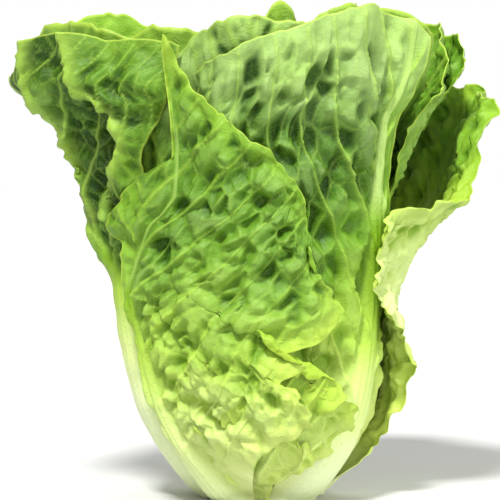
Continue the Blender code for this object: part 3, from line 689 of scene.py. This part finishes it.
def closed_shell(name, outer, inner, marks, flat):
    """Mesh of two grids of points of one shape, joined round their rim, with its attributes.

    A mark holds one value for each place of the grid, or one set for each face.
    """
    rows, columns = outer.shape[:2]
    count = rows * columns
    index = np.arange(count).reshape(rows, columns)
    quad = np.stack([index[:-1, :-1], index[:-1, 1:], index[1:, 1:], index[1:, :-1]], -1)
    front = quad.reshape(-1, 4)
    rim = np.concatenate([index[0, :-1], index[:-1, -1], index[-1, :0:-1], index[:0:-1, 0]])
    after = np.roll(rim, -1)
    side = np.stack([after, rim, rim + count, after + count], -1)
    faces = np.concatenate([front, front[:, ::-1] + count, side])
    points = np.concatenate([outer.reshape(-1, 3), inner.reshape(-1, 3)]) * MM
    mesh = bpy.data.meshes.new(name)
    mesh.vertices.add(len(points))
    mesh.loops.add(faces.size)
    mesh.polygons.add(len(faces))
    mesh.vertices.foreach_set("co", points.ravel())
    mesh.loops.foreach_set("vertex_index", faces.ravel().astype(np.int32))
    mesh.polygons.foreach_set("loop_start", np.arange(0, faces.size, 4, dtype=np.int32))
    mesh.update()
    mesh.validate()
    inside = np.array([0.0, 1.0]).reshape(2, 1, 1)
    for key, values in (marks | {"inside": inside}).items():
        both = np.broadcast_to(values, (2, rows, columns))
        layer = mesh.attributes.new(key, "FLOAT", "POINT")
        layer.data.foreach_set("value", both.astype(np.float32).ravel())
    uv = np.concatenate([flat.reshape(-1, 2), flat.reshape(-1, 2)])[faces.ravel()]
    mesh.uv_layers.new(name="flat").data.foreach_set("uv", (uv * UV_PER_MM).ravel())
    mesh.shade_smooth()
    return mesh


# ---- materials ------------------------------------------------------------------------------
def linear(hex_colour):
    """Linear RGBA of an sRGB hex colour."""
    parts = [int(hex_colour[i:i + 2], 16) / 255 for i in (1, 3, 5)]
    return [c / 12.92 if c <= 0.04045 else ((c + 0.055) / 1.055) ** 2.4 for c in parts] + [1.0]


def add_node(tree, kind, inputs=None, stops=(), **settings):
    """A node with its settings, its input values and links, and its (place, colour) stops."""
    node = tree.nodes.new(kind)
    for key, value in settings.items():
        setattr(node, key, value)
    for number, (place, colour) in enumerate(stops):
        points = node.color_ramp.elements
        point = points[number] if number < len(points) else points.new(place)
        point.position = place
        point.color = linear(colour)
    for key, value in (inputs or {}).items():
        if isinstance(value, bpy.types.NodeSocket):
            tree.links.new(value, node.inputs[key])
        else:
            node.inputs[key].default_value = value
    return node


# place is youth: 0 the green top of a leaf, 1 its blanched base
OUTSIDE_BLADE = [(0.0, "#37620a"), (0.2, "#578611"), (0.42, "#8aae30"), (0.8, "#b4ca64"),
                 (1.0, "#d2df92")]
INSIDE_BLADE = [(0.0, "#4c861c"), (0.2, "#70a42a"), (0.42, "#8eb426"), (0.8, "#b8d04c"),
                (1.0, "#d2df92")]
# painted shade: darker copies of the blade's colours, for pits, pleat valleys and shaded blades
PAINTED_SHADE_COLOURS = [(0.0, "#1c3e02"), (0.2, "#2c5604"), (0.42, "#5a860e"), (0.8, "#9cba34"),
           (1.0, "#c8d684")]
# pale wax with its painted sheen, and a painted highlight on the blisters' tops
BLOOM_AND_HIGHLIGHT_COLOURS = [(0.0, "#b2d07e"), (0.2, "#a4c464"), (0.42, "#b2cc66"), (0.8, "#ccdc92"),
          (1.0, "#dce6ae")]
VEINS = [(0.0, "#a2c44e"), (0.2, "#92b63c"), (0.42, "#b0cc4c"), (0.8, "#ccdc86"),
         (1.0, "#dae6ac")]
MIDRIBS = [(0.0, "#bad47e"), (0.2, "#7aa41e"), (0.42, "#a0c044"), (0.8, "#d4e492"),
           (1.0, "#deeab6")]
MARGINS = [(0.0, "#6c9e18"), (0.2, "#86b02a"), (0.42, "#b0ca3c"), (0.8, "#c8d868"),
           (1.0, "#cddb90")]
RIM_COLOUR = "#acc648"
DEEP_GREEN = "#244a06"


def new_material(name, roughness):
    """A material, its nodes and its shader."""
    material = bpy.data.materials.new(name)
    material.use_nodes = True
    shader = material.node_tree.nodes["Principled BSDF"]
    shader.inputs["Roughness"].default_value = roughness
    return material, material.node_tree, shader


def leaf_material(name, roughness):
    """Living lettuce leaf: a thin wet blade under a wax bloom.

    The outer face is greyer than the inner one; veins are pale, the tops of blisters carry a
    painted highlight, and pits and pleat valleys painted shade; the margin is a thin yellow line.
    The pale wax is painted with a broad soft painted sheen, without sharp highlights.
    """
    material, tree, shader = new_material(name, roughness)
    mark = {key: add_node(tree, "ShaderNodeAttribute", attribute_name=key).outputs["Fac"]
            for key in ("youth", "inside", "margin", "painted_shade", "bloom_and_highlight", "vein", "bar", "rim")}
    flat = add_node(tree, "ShaderNodeUVMap", uv_map="flat").outputs["UV"]
    # patches about 11 mm across, and cells of 2.6 mm between the finest veins, which are drawn
    # coarser than real ones to show
    cloud = add_node(tree, "ShaderNodeTexNoise", {"Vector": flat, "Scale": 9.0, "Detail": 3.0})
    cells = add_node(tree, "ShaderNodeTexVoronoi", {"Vector": flat, "Scale": 38.0},
                     feature="DISTANCE_TO_EDGE")
    mottle, net = (
        add_node(tree, "ShaderNodeMapRange", {"Value": value, "From Min": low, "From Max": high,
                                              "To Min": to_low, "To Max": to_high}).outputs[0]
        for value, low, high, to_low, to_high in (
            (cloud.outputs["Fac"], 0.35, 0.7, 0, 0.3), (cells.outputs["Distance"], 0, 0.09, 1, 0)))
    colour = add_node(tree, "ShaderNodeValToRGB", {"Fac": mark["youth"]},
                      stops=OUTSIDE_BLADE).outputs["Color"]
    # Over the blade's colour in turn: the inner face, the yellow margin, the pale wax with its
    # painted sheen and the painted highlight on blister tops, the painted shade, random mottle, the
    # finest veins, the veins with the folds' painted highlight, the midrib, and the rim.
    for factor, share, stops in (
            (mark["inside"], 1.0, INSIDE_BLADE), (mark["margin"], 0.7, MARGINS),
            (mark["bloom_and_highlight"], 0.85, BLOOM_AND_HIGHLIGHT_COLOURS), (mark["painted_shade"], 1.0, PAINTED_SHADE_COLOURS),
            (mottle, 1.0, [(0.0, DEEP_GREEN), (0.5, "#7a9a30"), (1.0, "#c4cf80")]),
            (net, 0.1, VEINS), (mark["vein"], 1.0, VEINS), (mark["bar"], 1.0, MIDRIBS),
            (mark["rim"], 0.75, [(0.0, RIM_COLOUR), (1.0, RIM_COLOUR)])):
        layer = add_node(tree, "ShaderNodeValToRGB", {"Fac": mark["youth"]}, stops=stops)
        amount = add_node(tree, "ShaderNodeMath", {0: factor, 1: share}, operation="MULTIPLY")
        colour = add_node(tree, "ShaderNodeMix", {0: amount.outputs[0], 6: colour,
                                                  7: layer.outputs["Color"]},
                          data_type="RGBA").outputs[2]
    tree.links.new(colour, shader.inputs["Base Color"])
    shader.inputs["IOR"].default_value = 1.38
    shader.inputs["Specular IOR Level"].default_value = 0.35
    bump = add_node(tree, "ShaderNodeBump", {"Height": net, "Strength": 0.35,
                                            "Distance": 0.0003})
    tree.links.new(bump.outputs["Normal"], shader.inputs["Normal"])
    return material


def stem_material():
    """Cut lettuce stem: pale wet flesh with rough fibres, which browns in blotches of 8 mm."""
    material, tree, shader = new_material("cut_lettuce_stem", 0.6)
    place = add_node(tree, "ShaderNodeTexCoord").outputs["Object"]
    blotch = add_node(tree, "ShaderNodeTexNoise", {"Vector": place, "Scale": 130.0,
                                                  "Detail": 5.0})
    colour = add_node(tree, "ShaderNodeValToRGB", {"Fac": blotch.outputs["Fac"]},
                      stops=[(0.3, "#e4e6bd"), (0.55, "#d3d79a"), (0.75, "#b9a871")])
    tree.links.new(colour.outputs["Color"], shader.inputs["Base Color"])
    bump = add_node(tree, "ShaderNodeBump", {"Height": blotch.outputs["Fac"], "Strength": 0.4,
                                             "Distance": 0.0006})
    tree.links.new(bump.outputs["Normal"], shader.inputs["Normal"])
    return material


def floor_material(colour):
    """Studio floor paint: matt, so that it shows soft shadows and no reflections."""
    material, _, shader = new_material("studio_floor_paint", 0.9)
    shader.inputs["Base Color"].default_value = colour
    return material


# ---- pieces ---------------------------------------------------------------------------------
def show(name, mesh, material, nodes):
    """Puts a finished mesh in the scene, on its body, in place of its plain nodes."""
    mesh.materials.append(material)
    piece = bpy.data.objects.new(name, mesh)
    bpy.context.scene.collection.objects.link(piece)
    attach(piece, BODY_NAME)
    if nodes:
        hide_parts(*nodes)


def grow(layers, material, settings):
    """Grows the leaves of some layers."""
    for name, leaf in LEAVES.items():
        if leaf["layer"] in layers:
            mesh = closed_shell(name + "_blade", *leaf_faces(PLAIN | leaf, settings))
            show(name + "_blade", mesh, material, [name])


def tear(material, settings):
    """Hangs the torn lobes at the front."""
    for number, (name, lobe) in enumerate(FRILLS.items()):
        leaf = PLAIN | FRILL_SHARED | lobe | {"seed": 300 + 20 * number}
        mesh = closed_shell(name, *leaf_faces(leaf, settings))
        show(name, mesh, material, [])


class LettuceSettings(bpy.types.PropertyGroup):
    blister_depth: bpy.props.FloatProperty(
        name="Blister depth", description="Depth of the hollows between an outer leaf's veins",
        default=0.003, subtype="DISTANCE", unit="LENGTH")
    blade: bpy.props.FloatProperty(
        name="Blade", description="Thickness of the blade between veins", default=0.0006,
        subtype="DISTANCE", unit="LENGTH")
    floor_colour: bpy.props.FloatVectorProperty(
        name="Floor colour", description="Colour of the studio floor", subtype="COLOR", size=4,
        default=linear("#cacac8"))


class LETTUCE_OT_outer_leaves(bpy.types.Operator):
    """Grow the outer leaves"""
    bl_idname = "lettuce.outer_leaves"
    bl_label = "Outer leaves"

    def execute(self, context):
        material = leaf_material("waxy_outer_lettuce_leaf", roughness=0.5)
        grow(OUTER_LAYERS, material, context.scene.lettuce)
        tear(material, context.scene.lettuce)
        return {"FINISHED"}


class LETTUCE_OT_inner_leaves(bpy.types.Operator):
    """Grow the leaves between the outer leaves and the heart"""
    bl_idname = "lettuce.inner_leaves"
    bl_label = "Inner leaves"

    def execute(self, context):
        material = leaf_material("tender_inner_lettuce_leaf", roughness=0.48)
        grow(INNER_LAYERS, material, context.scene.lettuce)
        return {"FINISHED"}


class LETTUCE_OT_heart_leaves(bpy.types.Operator):
    """Grow the blanched leaves of the heart"""
    bl_idname = "lettuce.heart_leaves"
    bl_label = "Heart leaves"

    def execute(self, context):
        material = leaf_material("blanched_heart_lettuce_leaf", roughness=0.46)
        grow(HEART_LAYERS, material, context.scene.lettuce)
        return {"FINISHED"}


class LETTUCE_OT_stump(bpy.types.Operator):
    """Give the stem its cut flesh"""
    bl_idname = "lettuce.stump"
    bl_label = "Stem"

    def execute(self, context):
        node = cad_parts["stump"]
        node.data.materials.clear()
        node.data.materials.append(stem_material())
        return {"FINISHED"}


class LETTUCE_OT_stage(bpy.types.Operator):
    """Lay the floor and set the studio's lights and camera"""
    bl_idname = "lettuce.stage"
    bl_label = "Studio"

    def execute(self, context):
        add_stage(context.scene)
        return {"FINISHED"}


class LETTUCE_PT_panel(bpy.types.Panel):
    bl_label = "Romaine lettuce head"
    bl_idname = "LETTUCE_PT_panel"
    bl_space_type = "VIEW_3D"
    bl_region_type = "UI"
    bl_category = "Lettuce"

    def draw(self, context):
        for name in LettuceSettings.__annotations__:
            self.layout.prop(context.scene.lettuce, name)
        for operator in OPERATORS:
            self.layout.operator(operator.bl_idname)


OPERATORS = (LETTUCE_OT_outer_leaves, LETTUCE_OT_inner_leaves, LETTUCE_OT_heart_leaves,
             LETTUCE_OT_stump, LETTUCE_OT_stage)
CLASSES = (LettuceSettings, *OPERATORS, LETTUCE_PT_panel)


# ---- studio ---------------------------------------------------------------------------------
# metres and degrees
VIEW_SIDE, VIEW_HEIGHT = -0.005, 0.099     # centre of the view
VIEW_WIDTH = 0.2005        # what the view spans at the head's axis
VIEW_DISTANCE = 1.15
VIEW_ELEVATION = 3.0
SENSOR = 36.0
FLOOR_SIZE = 8.0
# name, azimuth, elevation, angle across and strength
LIGHTS = [("key", -16, 55, 10, 4.3), ("fill", 60, 18, 40, 1.5), ("front", 8, 10, 50, 0.9),
          ("back", 165, 45, 40, 1.2)]
WORLD_LIGHT = 0.34         # what the white surroundings give, though they look fully white


def on_sphere(azimuth, elevation, distance):
    """Point at an azimuth, elevation and distance from the view's centre."""
    a, e = math.radians(azimuth), math.radians(elevation)
    return (VIEW_SIDE + distance * math.sin(a) * math.cos(e),
            -distance * math.cos(a) * math.cos(e), VIEW_HEIGHT + distance * math.sin(e))


def aim(thing, place):
    """Moves a light or camera to a place and turns it to the view's centre."""
    thing.location = place
    centre = Vector((VIEW_SIDE, 0.0, VIEW_HEIGHT))
    thing.rotation_euler = (centre - thing.location).to_track_quat("-Z", "Y").to_euler()


def add_stage(scene):
    """Pale floor, soft lights, and a camera just above the head's middle."""
    bpy.ops.mesh.primitive_plane_add(size=FLOOR_SIZE, location=(0, 0, 0))
    floor = bpy.context.object
    floor.name = "studio_floor"
    floor.data.materials.append(floor_material(scene.lettuce.floor_colour))
    for name, azimuth, elevation, angle, strength in LIGHTS:
        light = bpy.data.lights.new(name, "SUN")
        light.angle = math.radians(angle)
        light.energy = strength
        lamp = bpy.data.objects.new(name, light)
        scene.collection.objects.link(lamp)
        aim(lamp, on_sphere(azimuth, elevation, VIEW_DISTANCE))
    world = bpy.data.worlds.new("studio")
    world.use_nodes = True
    seen = add_node(world.node_tree, "ShaderNodeLightPath").outputs["Is Camera Ray"]
    strength = add_node(world.node_tree, "ShaderNodeMapRange",
                        {"Value": seen, "To Min": WORLD_LIGHT, "To Max": 1.0})
    background = world.node_tree.nodes["Background"]
    background.inputs["Color"].default_value = (1, 1, 1, 1)
    world.node_tree.links.new(strength.outputs[0], background.inputs["Strength"])
    scene.world = world
    lens = bpy.data.cameras.new("camera")
    lens.sensor_width = SENSOR
    lens.lens = SENSOR * VIEW_DISTANCE / VIEW_WIDTH
    camera = bpy.data.objects.new("camera", lens)
    scene.collection.objects.link(camera)
    aim(camera, on_sphere(0, VIEW_ELEVATION, VIEW_DISTANCE))
    scene.camera = camera
    scene.view_settings.view_transform = "Standard"


def register():
    for cls in CLASSES:
        bpy.utils.register_class(cls)
    bpy.types.Scene.lettuce = bpy.props.PointerProperty(type=LettuceSettings)


def unregister():
    del bpy.types.Scene.lettuce
    for cls in reversed(CLASSES):
        bpy.utils.unregister_class(cls)


def main():
    """Makes every piece and the studio."""
    register()
    bpy.ops.lettuce.outer_leaves()
    bpy.ops.lettuce.inner_leaves()
    bpy.ops.lettuce.heart_leaves()
    bpy.ops.lettuce.stump()
    bpy.ops.lettuce.stage()
    bpy.context.view_layer.update()


if __name__ == "__main__":
    main()
